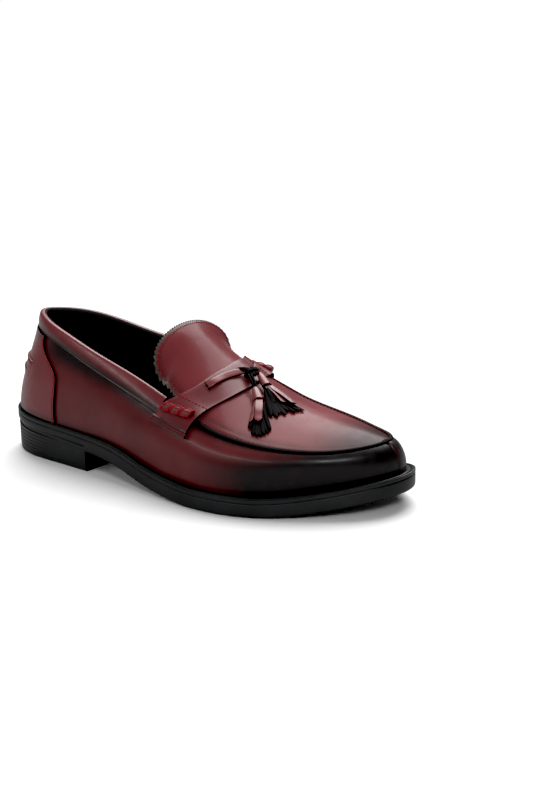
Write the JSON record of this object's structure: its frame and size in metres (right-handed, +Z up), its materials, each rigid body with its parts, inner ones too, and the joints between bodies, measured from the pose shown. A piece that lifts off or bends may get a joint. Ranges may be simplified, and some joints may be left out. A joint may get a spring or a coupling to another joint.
{
  "type": "tassel loafer",
  "caption": "Right tassel loafer with a saddle strap over the instep, a raised seam round the apron, a split toe and a low heeled rubber sole.",
  "frame": {"origin": "on the ground under the middle of the shoe's box", "axes": "+X towards the toe, +Y towards the inner side of the foot, +Z up"},
  "size_m": [0.304, 0.1133, 0.1014],
  "materials": {
    "sole_rubber": "satin black moulded rubber",
    "heel_rubber": "satin black moulded rubber",
    "welt_rubber": "satin black rubber with a stitched groove",
    "lining": "matt black lining",
    "upper_leather": "burnished oxblood leather, dark at the toe and seams",
    "tongue_leather": "burnished oxblood leather, polished",
    "band_leather": "burnished oxblood leather",
    "counter_leather": "burnished oxblood leather",
    "strap_leather": "burnished oxblood leather with black cut edges",
    "tassel_leather": "oxblood leather with black backs and cut edges"
  },
  "bodies": {
    "root": {"outsole": "sole_rubber", "heel": "heel_rubber", "welt": "welt_rubber", "insole": "lining", "upper": "upper_leather", "tongue": "tongue_leather", "collar_band": "band_leather", "counter": "counter_leather", "heel_tab": "counter_leather", "toe_strip": "upper_leather", "strap": "strap_leather", "rolls_lateral": "strap_leather", "rolls_medial": "strap_leather", "thong": "tassel_leather", "tassel_left": "tassel_leather", "tassel_right": "tassel_leather"}
  },
  "joints": []
}
